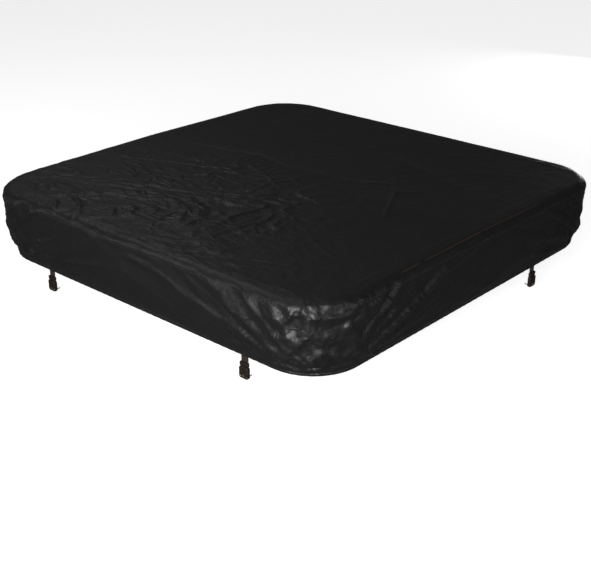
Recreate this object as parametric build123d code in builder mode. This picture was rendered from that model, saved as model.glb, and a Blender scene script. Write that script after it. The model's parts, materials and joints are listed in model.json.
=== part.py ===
"""Spa cover: a folding insulated lid under a fitted weather cap, with four tie-down straps.

Row frame: +Z up, -Y towards the user, origin at the centre of the plane that rests on the spa's rim.
The lid is two wrapped foam halves that fold along the X axis. The cap is a fabric hood with an
elastic hem. Each strap ends in a latch whose keeper is screwed to the spa's cabinet.
"""

import os

from build123d import *

os.makedirs("parts", exist_ok=True)

# ---- Driving dimensions, in millimetres ----
CAP_HALF = 1000.0  # half the cap's side, outside
CAP_CORNER = 250.0  # plan radius of the cap's corners
CAP_RIDGE = 102.0  # top of the cap above the fold
CAP_EDGE = 92.0  # top of the cap at its front and rear edges
CAP_SHEET = 1.5  # coated fabric
CAP_RIM = 20.0  # rounding of the rim
CAP_SEAM = 70.0  # height of the seam between top panel and skirt
CAP_SHOULDER = -55.0  # where the skirt starts to draw in
HEM_TOP = -205.0
HEM_BOTTOM = -219.0
HEM_INNER = 955.0  # half the hem's opening
HEM_DEPTH = 10.0  # radial size of the hem casing
HEM_SLOT = 2.0  # fabric of the casing
HEM_CORD = 2.4  # radius of the elastic cord
FABRIC_SPLIT = 0.3  # each side of the fold line

LID_HALF = 985.0  # half the hard lid's side
LID_CORNER = 238.0
LID_RIDGE = 97.0
LID_EDGE = 85.0
HINGE_GAP = 8.0  # from the fold line to each half's hinge wall
VINYL = 1.2
LAYER_GAP = 0.1
FILM = 0.4
CHANNEL_LEG = 28.0
CHANNEL_WALL = 1.2
CHANNEL_HALF = 940.0
PIPING = 2.5
LINER_HALF = 975.5
SEAL_FLAP = 3.0  # how far the rear liner reaches past the fold line
FLAP_OUTER = 978.0  # outside of the lid's hanging flaps
FLAP_SHEET = 1.5
FLAP_DROP = 100.0
FLAP_SLIT = 1.0
FOLD_Z = 102.5  # height of the fold axis

SPA_HALF = 950.0  # half the cabinet that the latches screw to
STRAP_WIDTH = 38.0
STRAP_SHEET = 2.5
STRAP_PIVOT = -228.0
STRAP_PAUSE = 1.2  # half the gap between fixed and hanging webbing
STRAP_FRONT_X = 590.0  # front straps, each side of the centre
STRAP_SIDE_Y = 495.0  # right strap, behind the fold
STRAP_LEFT_Y = 492.0  # left strap: fitted by hand, so not an exact mirror image
CLIP_TOP = -250.0
CLIP_BOTTOM = -267.5
CLIP_WIDTH = 42.0
CLIP_DEPTH = 11.0
KEEPER_TOP = -268.0
KEEPER_BOTTOM = -319.0
KEEPER_WIDTH = 46.0
KEEPER_DEPTH = 14.0
PRONG_TIP = -295.0
PRONG_DEPTH = 4.6
PRONG_START = 3.4
BARREL_Z = -307.0
BARREL = 6.0
SCREW_Z = -310.0
SCREW_X = 15.0
SCREW_THREAD = 2.0  # mean radius of the threaded end behind the keeper
SCREW_SHANK = 2.5  # plain shoulder inside the keeper
SCREW_HEAD = 4.0
SCREW_LENGTH = 18.0  # length behind the keeper

# The front half is the rear half turned round by half a turn
HALVES = {"rear": Location(), "front": Location((0, 0, 0), (0, 0, 180))}


def save(part, name):
    """Labels a finished piece and writes it as its own STEP file."""
    part.label = name
    export_step(part, f"parts/{name}.step")


def half_plan(half, corner, start, level):
    """Rounded square outline at a height, cut to its rear part from start mm behind the fold line."""
    with BuildSketch(Plane.XY.offset(level)) as plan:
        RectangleRounded(2 * half, 2 * half, corner)
        with Locations((0, start + half)):
            Rectangle(3 * half, 2 * half, mode=Mode.INTERSECT)
    return plan.sketch


def sloped_block(half, corner, start, floor, ridge, edge):
    """Rear half of a rounded square slab whose top falls from the ridge at the fold to the far edge."""
    with BuildPart() as block:
        with BuildSketch(Plane.YZ):
            with BuildLine():
                Polyline(
                    (-half, floor), (-half, ridge), (0, ridge), (half, edge), (half, floor), close=True
                )
            make_face()
        extrude(amount=half, both=True)
        extrude(half_plan(half, corner, start, floor), amount=ridge - floor, mode=Mode.INTERSECT)
    return block.part


def lid_block(inset, floor, start=None):
    """The wrapped lid half, shrunk on all sides by inset."""
    wall = HINGE_GAP + inset if start is None else start
    return sloped_block(
        LID_HALF - inset, LID_CORNER - inset, wall, floor, LID_RIDGE - inset, LID_EDGE - inset
    )


# ---- Hard lid ----
FILM_INSET = VINYL + LAYER_GAP
CORE_INSET = FILM_INSET + FILM + LAYER_GAP


def edge_channel():
    """Steel C channel that stiffens the hinge edge of a foam core."""
    near = HINGE_GAP + CORE_INSET
    far = near + CHANNEL_LEG
    web = near + CHANNEL_WALL
    low, high = CORE_INSET, LID_RIDGE - CORE_INSET
    fall = (LID_RIDGE - LID_EDGE) / LID_HALF
    high_near, high_far = high - fall * near, high - fall * far
    with BuildPart() as channel:
        with BuildSketch(Plane.YZ):
            with BuildLine():
                Polyline(
                    (near, low), (far, low), (far, low + CHANNEL_WALL), (web, low + CHANNEL_WALL),
                    (web, high_near - CHANNEL_WALL), (far, high_far - CHANNEL_WALL),
                    (far, high_far), (near, high_near), close=True,
                )
            make_face()
        extrude(amount=CHANNEL_HALF, both=True)
    return channel.part


def foam_core():
    """Foam slab, grooved where the channel clips over its hinge edge."""
    block = lid_block(CORE_INSET, CORE_INSET)
    channel = edge_channel()
    with BuildPart() as core:
        add(block)
        add(channel, mode=Mode.SUBTRACT)
    return core.part


def vapour_film():
    """Film wrap around the foam, open at the hinge edge where it is folded behind the channel."""
    outer = lid_block(FILM_INSET, FILM_INSET)
    inner = lid_block(FILM_INSET + FILM, FILM_INSET + FILM, start=HINGE_GAP)
    with BuildPart() as film:
        add(outer)
        add(inner, mode=Mode.SUBTRACT)
    return film.part


def vinyl_jacket():
    """Top and side walls of the lid half, with a turned-in bottom flange that carries the flaps."""
    outer = lid_block(0, 0)
    inner = lid_block(VINYL, VINYL)
    opening = half_plan(LINER_HALF + 0.2, LID_CORNER - LID_HALF + LINER_HALF, 0, 0)
    with BuildPart() as jacket:
        add(outer)
        add(inner, mode=Mode.SUBTRACT)
        extrude(opening, amount=VINYL, mode=Mode.SUBTRACT)
    return jacket.part


def bottom_liner(start):
    """Sheet that closes the jacket's underside and seals on the spa's rim."""
    with BuildPart() as liner:
        extrude(half_plan(LINER_HALF, LID_CORNER - LID_HALF + LINER_HALF, start, 0), amount=VINYL)
    return liner.part


def piping():
    """Welt cord sewn round the jacket's top edge."""
    block = lid_block(0, 0)
    top = block.faces().sort_by(Axis.Z)[-1]
    run = Wire([e for e in top.edges() if e.center().Y > HINGE_GAP + 1])
    with BuildPart() as cord:
        with BuildSketch(Plane(origin=run @ 0, z_dir=run % 0)):
            Circle(PIPING)
        sweep(path=run)
        add(block, mode=Mode.SUBTRACT)
    return cord.part


def lid_flaps():
    """Vinyl flaps that hang over the spa's rim: a long one, two corners and two side flaps."""
    inner = FLAP_OUTER - FLAP_SHEET
    corner = LID_CORNER - LID_HALF + FLAP_OUTER
    straight = FLAP_OUTER - corner
    with BuildPart() as flaps:
        extrude(half_plan(FLAP_OUTER, corner, HINGE_GAP, -FLAP_DROP), amount=FLAP_DROP)
        extrude(
            half_plan(inner, corner - FLAP_SHEET, 0, -FLAP_DROP), amount=FLAP_DROP, mode=Mode.SUBTRACT
        )
        with BuildSketch(Plane.XY.offset(-FLAP_DROP)):
            with Locations((-straight, inner), (straight, inner)):
                Rectangle(FLAP_SLIT, 4 * FLAP_SHEET)
            with Locations((-inner, straight), (inner, straight)):
                Rectangle(4 * FLAP_SHEET, FLAP_SLIT)
        extrude(amount=FLAP_DROP, mode=Mode.SUBTRACT)
    return flaps.part


ZIP_HALF = 900.0
ZIP_Z = 27.0
ZIP_TAPE = (28.0, 0.8)
ZIP_COIL = (6.0, 1.6)
SLIDER = (16.0, 12.0, 2.4)
SLIDER_X = 860.0  # closed position, towards one end
PULL_TAB = (7.0, 24.0, 1.0)
SKIN_GAP = 0.2


def zip_box(x, z, size, near):
    """A flat rounded plate on the hinge wall: size is (along X, along Z, thickness off the wall)."""
    length, tall, thick = size
    with BuildPart() as box:
        with BuildSketch(Plane.XZ.offset(-near)):
            with Locations((x, z)):
                RectangleRounded(length, tall, min(length, tall) * 0.25)
        extrude(amount=thick)
    return box.part


def zipper():
    """Closed zipper on the hinge wall, through which the foam goes in: tape with a raised coil."""
    tape = zip_box(0, ZIP_Z, (2 * ZIP_HALF, *ZIP_TAPE), HINGE_GAP)
    coil = zip_box(0, ZIP_Z, (2 * ZIP_HALF - 10, *ZIP_COIL), HINGE_GAP - ZIP_TAPE[1])
    with BuildPart() as closed:
        add(tape)
        add(coil)
    return closed.part


def zip_slider():
    """Slider riding over the coil, with its pull tab hanging down."""
    near = HINGE_GAP - ZIP_TAPE[1] - ZIP_COIL[1] - SKIN_GAP
    body = zip_box(-SLIDER_X, ZIP_Z, SLIDER, near)
    tab = zip_box(-SLIDER_X, ZIP_Z - PULL_TAB[1] / 2 + 3, PULL_TAB, near - SLIDER[2])
    with BuildPart() as slider:
        add(body)
        add(tab)
    return slider.part


LID_PIECES = {
    "edge_channel": edge_channel(),
    "foam_core": foam_core(),
    "vapour_film": vapour_film(),
    "jacket": vinyl_jacket(),
    "piping": piping(),
    "flaps": lid_flaps(),
    "zipper": zipper(),
    "zip_slider": zip_slider(),
}
for half_name, turn in HALVES.items():
    for piece, shape in LID_PIECES.items():
        save(turn * shape, f"{half_name}_{piece}")
save(bottom_liner(-SEAL_FLAP), "rear_bottom_liner")
save(HALVES["front"] * bottom_liner(SEAL_FLAP + 1), "front_bottom_liner")

# Foam strip in the fold that stops heat rising between the halves
SEAL_LOW, SEAL_HIGH = 52.0, 84.0
with BuildPart() as heat_seal:
    with BuildSketch(Plane.YZ):
        with Locations(((HINGE_GAP - 7) / 2, (SEAL_LOW + SEAL_HIGH) / 2)):
            RectangleRounded(HINGE_GAP + 7 - 0.2, SEAL_HIGH - SEAL_LOW, 3)
    extrude(amount=LID_HALF - 20, both=True)
save(heat_seal.part, "heat_seal")

# Vinyl strip that joins the two halves over the fold
STRIP_HALF_WIDTH = 60.0
strip_fall = (LID_RIDGE - LID_EDGE) / LID_HALF * STRIP_HALF_WIDTH
with BuildPart() as hinge_strip:
    with BuildSketch(Plane.YZ):
        with BuildLine():
            low = LID_RIDGE + LAYER_GAP
            Polyline(
                (-STRIP_HALF_WIDTH, low - strip_fall), (0, low), (STRIP_HALF_WIDTH, low - strip_fall),
                (STRIP_HALF_WIDTH, low - strip_fall + FLAP_SHEET), (0, low + FLAP_SHEET),
                (-STRIP_HALF_WIDTH, low - strip_fall + FLAP_SHEET), close=True,
            )
        make_face()
    extrude(amount=LID_HALF - 12, both=True)
save(hinge_strip.part, "hinge_strip")

# Carry handles: webbing sewn down at both ends on the side walls of the front half
HANDLE_Y, HANDLE_Z = -430.0, 46.0
HANDLE_LENGTH, HANDLE_RISE, HANDLE_WIDTH, HANDLE_SHEET = 260.0, 7.0, 30.0, 2.0
for name, hand in (("left", -1), ("right", 1)):
    foot = hand * (LID_HALF + LAYER_GAP)
    crest = hand * (LID_HALF + LAYER_GAP + HANDLE_RISE)
    skin = hand * HANDLE_SHEET
    with BuildPart() as handle:
        with BuildSketch(Plane.XY.offset(HANDLE_Z - HANDLE_WIDTH / 2)):
            with BuildLine():
                y0, y1 = HANDLE_Y - HANDLE_LENGTH / 2, HANDLE_Y + HANDLE_LENGTH / 2
                tab, ramp = 40.0, 30.0
                Polyline(
                    (foot, y0), (foot, y0 + tab), (crest, y0 + tab + ramp), (crest, y1 - tab - ramp),
                    (foot, y1 - tab), (foot, y1), (foot + skin, y1), (foot + skin, y1 - tab),
                    (crest + skin, y1 - tab - ramp), (crest + skin, y0 + tab + ramp),
                    (foot + skin, y0 + tab), (foot + skin, y0), close=True,
                )
            make_face()
        extrude(amount=HANDLE_WIDTH)
    save(handle.part, f"{name}_handle")


# ---- Weather cap ----
HEM_MIDDLE = (HEM_TOP + HEM_BOTTOM) / 2
HEM_OUTER = HEM_INNER + HEM_DEPTH
HEM_CORNER = CAP_CORNER - CAP_HALF
TAIL_X = 14.0  # where the cord's ends leave the casing, each side of the middle


def cap_block(inset, start):
    """Solid inside the cap's sheet at an inset, from the shoulder up, with its rounded rim."""
    solid = sloped_block(
        CAP_HALF - inset, CAP_CORNER - inset, start, CAP_SHOULDER, CAP_RIDGE - inset, CAP_EDGE - inset
    )
    with BuildPart() as block:
        add(solid)
        top = block.faces().filter_by(lambda f: f.center().Z > 0).sort_by(SortBy.AREA)[-1]
        rim = [e for e in top.edges() if e.center().Y > start + 5]
        fillet(rim, CAP_RIM - inset)
    return block.part


def cap_shell():
    """Top sheet and upright part of the skirt, in one piece."""
    outer = cap_block(0, FABRIC_SPLIT)
    inner = cap_block(CAP_SHEET, FABRIC_SPLIT - CAP_SHEET)
    with BuildPart() as shell:
        add(outer)
        add(inner, mode=Mode.SUBTRACT)
    return shell.part


def cap_top(shell):
    """Top panel with its turned-down rim."""
    with BuildPart() as top:
        add(shell)
        split(bisect_by=Plane.XY.offset(CAP_SEAM), keep=Keep.TOP)
    return top.part


def cap_skirt(shell):
    """Skirt: upright to the shoulder, then drawn in to the hem."""
    drop = CAP_SHOULDER - HEM_TOP
    taper = Vector(drop, 0, 0).get_angle(Vector(drop, CAP_HALF - HEM_OUTER, 0))
    inside = CAP_HALF - CAP_SHEET
    with BuildPart() as skirt:
        extrude(half_plan(CAP_HALF, CAP_CORNER, -CAP_HALF, CAP_SHOULDER), amount=-drop, taper=taper)
        extrude(
            half_plan(inside, CAP_CORNER - CAP_SHEET, -CAP_HALF, CAP_SHOULDER),
            amount=-drop, taper=taper, mode=Mode.SUBTRACT,
        )
        extrude(half_plan(2 * CAP_HALF, CAP_CORNER, FABRIC_SPLIT, HEM_TOP), amount=drop, mode=Mode.INTERSECT)
        with BuildPart(mode=Mode.PRIVATE) as upright:
            add(shell)
            split(bisect_by=Plane.XY.offset(CAP_SEAM), keep=Keep.BOTTOM)
        add(upright.part)
    return skirt.part


def hem_ring(outer, inner, low, high):
    """Half ring that follows the hem between two plan offsets and two heights."""
    with BuildPart() as ring:
        extrude(half_plan(outer, HEM_CORNER + outer, FABRIC_SPLIT, low), amount=high - low)
        extrude(half_plan(inner, HEM_CORNER + inner, -1, low), amount=high - low, mode=Mode.SUBTRACT)
    return ring.part


def hem_casing(slots):
    """Folded fabric tube along the hem, with slots where the cord's ends come out."""
    tube = hem_ring(HEM_OUTER, HEM_INNER, HEM_BOTTOM, HEM_TOP)
    hollow = hem_ring(HEM_OUTER - HEM_SLOT, HEM_INNER + HEM_SLOT, HEM_BOTTOM + HEM_SLOT, HEM_TOP - HEM_SLOT)
    with BuildPart() as casing:
        add(tube)
        add(hollow, mode=Mode.SUBTRACT)
        for x in slots:
            with Locations((x, HEM_OUTER, HEM_MIDDLE)):
                Box(8, 8, 8, mode=Mode.SUBTRACT)
    return casing.part


def hem_cord(gap):
    """Elastic cord that runs through the casing, open over a gap at the middle of its run."""
    middle = HEM_INNER + HEM_DEPTH / 2
    bead = hem_ring(middle + HEM_CORD, middle - HEM_CORD, HEM_MIDDLE - HEM_CORD, HEM_MIDDLE + HEM_CORD)
    with BuildPart() as cord:
        add(bead)
        long_edges = [e for e in cord.edges() if e.length > 2.5 * HEM_CORD]
        fillet(long_edges, 0.7 * HEM_CORD)
        if gap:
            with Locations((0, middle, HEM_MIDDLE)):
                Box(gap, 2 * HEM_DEPTH, HEM_DEPTH, mode=Mode.SUBTRACT)
    return cord.part


cap_sheet = cap_shell()
CAP_PIECES = {"top": cap_top(cap_sheet), "skirt": cap_skirt(cap_sheet)}
for half_name, turn in HALVES.items():
    for piece, shape in CAP_PIECES.items():
        save(turn * shape, f"cap_{half_name}_{piece}")
save(hem_casing((-TAIL_X, TAIL_X)), "cap_rear_hem")
save(HALVES["front"] * hem_casing(()), "cap_front_hem")
save(hem_cord(2 * TAIL_X - 4), "cap_rear_hem_cord")
save(HALVES["front"] * hem_cord(0), "cap_front_hem_cord")

# ---- Cord lock at the middle of the rear hem ----
LOCK_Y = LID_HALF + PIPING + 10.5  # hangs clear of the lid, so that it passes the edge with the hem
LOCK_Z = -238.0
LOCK_OUTER, LOCK_BORE, LOCK_HALF = 9.0, 6.2, 13.0
PLUNGER, PLUNGER_REACH, PLUNGER_FOOT = 6.0, 20.0, -3.0
LOCK_FLOOR = -10.5  # bottom of the bore, from the lock's middle
TAIL = 1.6
TAIL_GAP = 1.9  # each tail off the lock's middle plane
CORD_HOLE = 3.9

LOCK_X = -4.0  # the lock body sits off centre, so that its cord hole is in the middle

lock_frame = Plane(origin=(LOCK_X, LOCK_Y, LOCK_Z), x_dir=(0, 1, 0), z_dir=(1, 0, 0))
with BuildPart() as cord_lock_body:
    with BuildSketch(lock_frame.offset(-LOCK_HALF)):
        Circle(LOCK_OUTER)
    extrude(amount=2 * LOCK_HALF)
    fillet(cord_lock_body.edges(), 1.5)
    with BuildSketch(lock_frame.offset(LOCK_FLOOR)):
        Circle(LOCK_BORE)
    extrude(amount=2 * LOCK_HALF, mode=Mode.SUBTRACT)
    with BuildSketch(Plane.XY.offset(LOCK_Z)):
        with Locations((0, LOCK_Y)):
            Circle(CORD_HOLE)
    extrude(amount=2 * LOCK_OUTER, both=True, mode=Mode.SUBTRACT)
save(cord_lock_body.part, "cord_lock_body")

with BuildPart() as cord_lock_plunger:
    with BuildSketch(lock_frame.offset(PLUNGER_FOOT)):
        Circle(PLUNGER)
    extrude(amount=PLUNGER_REACH - PLUNGER_FOOT)
    fillet(cord_lock_plunger.faces().sort_by(Axis.X)[-1].edges(), 1.5)
    with BuildSketch(Plane.XY.offset(LOCK_Z)):
        with Locations((1.5, LOCK_Y)):
            SlotCenterToCenter(4.5, 2 * CORD_HOLE)
    extrude(amount=2 * LOCK_OUTER, both=True, mode=Mode.SUBTRACT)
save(cord_lock_plunger.part, "cord_lock_plunger")

SPRING_RADIUS, SPRING_WIRE, SPRING_TURNS = 4.4, 0.4, 4
spring_length = PLUNGER_FOOT - LOCK_FLOOR - 2 * SPRING_WIRE - 0.4
with BuildPart() as cord_lock_spring:
    with BuildLine() as coil:
        Helix(pitch=spring_length / SPRING_TURNS, height=spring_length, radius=SPRING_RADIUS)
    with BuildSketch(Plane(origin=coil.line @ 0, z_dir=coil.line % 0)):
        Circle(SPRING_WIRE)
    sweep(path=coil.line, is_frenet=True)
spring_seat = lock_frame.offset(LOCK_FLOOR + SPRING_WIRE + 0.2)
save(spring_seat.location * cord_lock_spring.part, "cord_lock_spring")

# The two cord ends leave the casing, meet in the lock and end in a knot
KNOT_Z = LOCK_Z - 44
with BuildPart() as cord_tail:
    with BuildLine() as run:
        FilletPolyline(
            (TAIL_X, HEM_OUTER - 0.8, HEM_MIDDLE), (TAIL_X, LOCK_Y, HEM_MIDDLE),
            (TAIL_GAP, LOCK_Y, LOCK_Z + LOCK_OUTER + 2), (TAIL_GAP, LOCK_Y, KNOT_Z), radius=2.5,
        )
    path = run.wire()
    with BuildSketch(Plane(origin=path @ 0, z_dir=path % 0)):
        Circle(TAIL)
    sweep(path=path)
with BuildPart() as cord_tails:
    with BuildSketch(Plane.XY.offset(KNOT_Z - 5)):
        with Locations((0, LOCK_Y)):
            Circle(5.5)
    extrude(amount=10)
    fillet(cord_tails.edges(), 3)
    add(cord_tail.part)
    mirror(cord_tail.part, about=Plane.YZ)
save(cord_tails.part, "cord_tails")


# ---- Tie-down straps: modelled at the middle of the front, with the cabinet wall at y = -SPA_HALF ----
def wall_y(out):
    """Y of a point that stands out from the front cabinet wall."""
    return -(SPA_HALF + out)


def strap_anchor():
    """Webbing sewn under the lid's edge, led in between cap and spa to just below the hem."""
    out = FLAP_OUTER - SPA_HALF + 0.5
    near = 1.0
    path = [(out, 0), (out, -FLAP_DROP), (near, HEM_TOP - 3), (near, STRAP_PIVOT + STRAP_PAUSE)]
    inner = [(wall_y(s), z) for s, z in path]
    outer = [(wall_y(s + STRAP_SHEET), z) for s, z in reversed(path)]
    with BuildPart() as anchor:
        with BuildSketch(Plane.YZ):
            with BuildLine():
                Polyline(*inner, *outer, close=True)
            make_face()
        extrude(amount=STRAP_WIDTH / 2, both=True)
    return anchor.part


def strap_webbing():
    """Hanging end of the strap, down into the clip."""
    with BuildPart() as webbing:
        with BuildSketch(Plane.XZ.offset(SPA_HALF + 1)):
            top = STRAP_PIVOT - STRAP_PAUSE
            foot = CLIP_TOP - 9
            with Locations((0, (top + foot) / 2)):
                Rectangle(STRAP_WIDTH, top - foot)
        extrude(amount=STRAP_SHEET)
    return webbing.part


def clip():
    """Male clip: body with a webbing slot, a centre guide and two barbed prongs."""
    with BuildPart() as male:
        with BuildSketch(Plane.XZ.offset(SPA_HALF + 0.3)):
            with Locations((0, (CLIP_TOP + CLIP_BOTTOM) / 2)):
                RectangleRounded(CLIP_WIDTH, CLIP_TOP - CLIP_BOTTOM, 4)
        extrude(amount=CLIP_DEPTH)
        fillet(male.faces().sort_by(Axis.Y)[0].edges(), 2)
        with BuildSketch(Plane.XZ.offset(SPA_HALF + 0.8)):
            with Locations((0, CLIP_TOP - 4.6)):
                Rectangle(STRAP_WIDTH + 0.6, 9.4)
        extrude(amount=STRAP_SHEET + 0.5, mode=Mode.SUBTRACT)
        with BuildSketch(Plane.XZ.offset(SPA_HALF + PRONG_START)):
            length = CLIP_BOTTOM - PRONG_TIP + 1
            with Locations((0, CLIP_BOTTOM + 1 - length / 2)):
                Rectangle(4, length)
            for hand in (-1, 1):
                with BuildLine():
                    Polyline(
                        (hand * 8, CLIP_BOTTOM + 1), (hand * 13.5, CLIP_BOTTOM + 1),
                        (hand * 13.5, PRONG_TIP + 12), (hand * 15.6, PRONG_TIP + 12),
                        (hand * 15.6, PRONG_TIP + 9), (hand * 12, PRONG_TIP),
                        (hand * 8, PRONG_TIP), close=True,
                    )
                make_face()
        extrude(amount=PRONG_DEPTH)
    return male.part


def keeper():
    """Keeper: housing with a mouth for the prongs, a bored seat for the lock and two screw holes."""
    with BuildPart() as housing:
        with BuildSketch(Plane.XZ.offset(SPA_HALF)):
            with Locations((0, (KEEPER_TOP + KEEPER_BOTTOM) / 2)):
                RectangleRounded(KEEPER_WIDTH, KEEPER_TOP - KEEPER_BOTTOM, 9)
        extrude(amount=KEEPER_DEPTH)
        fillet(housing.faces().sort_by(Axis.Y)[0].edges(), 3)
        with BuildSketch(Plane.XZ.offset(SPA_HALF + PRONG_START - 0.4)):
            cavity = KEEPER_TOP - PRONG_TIP + 3
            with Locations((0, KEEPER_TOP - cavity / 2 + 1)):
                Rectangle(33, cavity + 2)
        extrude(amount=PRONG_DEPTH + 0.8, mode=Mode.SUBTRACT)
        with BuildSketch(Plane.XZ.offset(SPA_HALF + 4)):
            with Locations((0, BARREL_Z)):
                Circle(BARREL + 0.05)
        extrude(amount=KEEPER_DEPTH, mode=Mode.SUBTRACT)
        with BuildSketch(Plane.XZ.offset(SPA_HALF)):
            with Locations((-SCREW_X, SCREW_Z), (SCREW_X, SCREW_Z)):
                Circle(SCREW_SHANK + 0.1)
        extrude(amount=KEEPER_DEPTH, mode=Mode.SUBTRACT)
        with BuildSketch(Plane.XZ.offset(SPA_HALF + KEEPER_DEPTH - 4)):
            with Locations((-SCREW_X, SCREW_Z), (SCREW_X, SCREW_Z)):
                Circle(SCREW_HEAD + 0.2)
        extrude(amount=KEEPER_DEPTH, mode=Mode.SUBTRACT)
    return housing.part


def lock_barrel():
    """Quarter-turn lock barrel with a key slot."""
    with BuildPart() as barrel:
        with BuildSketch(Plane.XZ.offset(SPA_HALF + 4.2)):
            with Locations((0, BARREL_Z)):
                Circle(BARREL)
        extrude(amount=KEEPER_DEPTH - 3.4)
        with BuildSketch(Plane.XZ.offset(SPA_HALF + KEEPER_DEPTH - 3)):
            with Locations((0, BARREL_Z)):
                Rectangle(1.4, 7)
        extrude(amount=KEEPER_DEPTH, mode=Mode.SUBTRACT)
    return barrel.part


def keeper_screws():
    """Two pan-head screws whose threaded ends stand out behind the keeper, ready for the cabinet."""
    with BuildPart() as screws:
        with BuildSketch(Plane.XZ.offset(SPA_HALF - SCREW_LENGTH)):
            with Locations((-SCREW_X, SCREW_Z), (SCREW_X, SCREW_Z)):
                Circle(SCREW_THREAD)
        extrude(amount=SCREW_LENGTH)
        with BuildSketch(Plane.XZ.offset(SPA_HALF)):
            with Locations((-SCREW_X, SCREW_Z), (SCREW_X, SCREW_Z)):
                Circle(SCREW_SHANK)
        extrude(amount=KEEPER_DEPTH - 4)
        with BuildSketch(Plane.XZ.offset(SPA_HALF + KEEPER_DEPTH - 4)):
            with Locations((-SCREW_X, SCREW_Z), (SCREW_X, SCREW_Z)):
                Circle(SCREW_HEAD)
        extrude(amount=2.4)
        with BuildSketch(Plane.XZ.offset(SPA_HALF + KEEPER_DEPTH - 3)):
            with Locations((-SCREW_X, SCREW_Z), (SCREW_X, SCREW_Z)):
                Rectangle(5, 1)
                Rectangle(1, 5)
        extrude(amount=KEEPER_DEPTH, mode=Mode.SUBTRACT)
    return screws.part


STATIONS = {
    "front_left": Location((-STRAP_FRONT_X, 0, 0)),
    "front_right": Location((STRAP_FRONT_X, 0, 0)),
    "side_right": Location((0, STRAP_SIDE_Y, 0), (0, 0, 90)),
    "side_left": Location((0, STRAP_LEFT_Y, 0), (0, 0, -90)),
}
STRAP_PIECES = {
    "strap": strap_webbing(),
    "clip": clip(),
    "keeper": keeper(),
    "lock": lock_barrel(),
    "screws": keeper_screws(),
}
for station, place in STATIONS.items():
    for piece, shape in STRAP_PIECES.items():
        save(place * shape, f"{station}_{piece}")

anchor_shape = strap_anchor()
for half_name, word in (("front", "front"), ("rear", "side")):
    homes = [place for station, place in STATIONS.items() if word in station]
    save(Compound([(place * anchor_shape).solid() for place in homes]), f"{half_name}_strap_anchors")
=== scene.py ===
"""Looks for the spa cover: a wrinkled cap over a vinyl lid in two halves, with tie-down straps."""

import json
import math

import bmesh
import bpy
import numpy as np
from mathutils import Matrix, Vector, noise
from mathutils.bvhtree import BVHTree

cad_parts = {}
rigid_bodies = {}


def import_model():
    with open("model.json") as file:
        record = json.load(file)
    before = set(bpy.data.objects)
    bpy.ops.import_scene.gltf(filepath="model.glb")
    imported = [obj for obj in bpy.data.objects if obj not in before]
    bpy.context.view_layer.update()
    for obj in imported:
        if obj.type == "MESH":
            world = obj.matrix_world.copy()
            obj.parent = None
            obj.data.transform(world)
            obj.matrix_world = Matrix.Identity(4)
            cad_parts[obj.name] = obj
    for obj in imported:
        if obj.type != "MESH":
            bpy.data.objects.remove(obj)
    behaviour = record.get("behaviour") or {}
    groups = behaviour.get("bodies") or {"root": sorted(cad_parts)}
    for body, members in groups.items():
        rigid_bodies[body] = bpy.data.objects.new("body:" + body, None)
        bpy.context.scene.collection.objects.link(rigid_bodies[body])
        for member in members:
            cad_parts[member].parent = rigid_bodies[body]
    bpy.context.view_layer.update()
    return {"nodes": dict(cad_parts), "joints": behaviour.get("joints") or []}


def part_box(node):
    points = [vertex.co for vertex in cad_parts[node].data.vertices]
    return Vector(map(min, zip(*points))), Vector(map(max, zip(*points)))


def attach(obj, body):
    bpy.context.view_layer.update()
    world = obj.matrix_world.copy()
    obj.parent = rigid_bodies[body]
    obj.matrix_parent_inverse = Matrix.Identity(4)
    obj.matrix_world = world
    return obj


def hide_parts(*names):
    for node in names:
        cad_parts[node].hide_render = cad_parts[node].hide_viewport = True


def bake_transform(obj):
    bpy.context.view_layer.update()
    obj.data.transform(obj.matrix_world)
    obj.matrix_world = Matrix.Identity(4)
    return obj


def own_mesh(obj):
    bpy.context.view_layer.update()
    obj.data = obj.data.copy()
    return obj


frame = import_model()

HALVES = {"rear": 1, "front": -1}
top_lo, top_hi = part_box("cap_rear_top")
hem_lo, hem_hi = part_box("cap_rear_hem")
HALF = top_hi.x
CORNER = 0.25 * HALF
RIDGE = top_hi.z
CROWN = 0.010  # fall of the top from its ridge to its front and rear edges
EDGE = RIDGE - CROWN
HEM_HALF = hem_hi.x
HEM_TOP, HEM_FOOT = hem_hi.z, hem_lo.z
SHOULDER = -0.055  # where the skirt starts to draw in
SEAM_Z = top_lo.z
JOINTS = {joint["name"]: joint for joint in frame["joints"]}
FOLD_Z = JOINTS["lid_fold"]["pos_m"][2]
BEND = 0.006  # half the width of cloth that bends at the fold
FAN_AT = 0.93  # where the folds of a corner start, as a share of HALF
CAP_THICK, LID_THICK, FLAP_THICK = 0.0014, 0.0012, 0.0013
LID_FLAT = 0.747  # from the middle of the lid to where each rounded corner starts


# ---- Mesh helpers ----
def mesh_object(name, verts, faces, smooth=True):
    data = bpy.data.meshes.new(name)
    data.from_pydata([tuple(v) for v in verts], [], [tuple(f) for f in faces])
    data.validate()
    if smooth:
        data.polygons.foreach_set("use_smooth", [True] * len(data.polygons))
    obj = bpy.data.objects.new(name, data)
    bpy.context.scene.collection.objects.link(obj)
    return obj


def bake(obj):
    """Applies every modifier, so that the shown mesh is the stored mesh."""
    deps = bpy.context.evaluated_depsgraph_get()
    made = bpy.data.meshes.new_from_object(obj.evaluated_get(deps), depsgraph=deps)
    obj.modifiers.clear()
    obj.data = made
    return obj


def coords(obj):
    co = np.zeros(len(obj.data.vertices) * 3)
    obj.data.vertices.foreach_get("co", co)
    return co.reshape(-1, 3)


def set_coords(obj, co):
    obj.data.vertices.foreach_set("co", np.asarray(co, float).ravel())
    obj.data.update()


def normals(obj):
    no = np.zeros(len(obj.data.vertices) * 3)
    obj.data.vertices.foreach_get("normal", no)
    return no.reshape(-1, 3)


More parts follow.
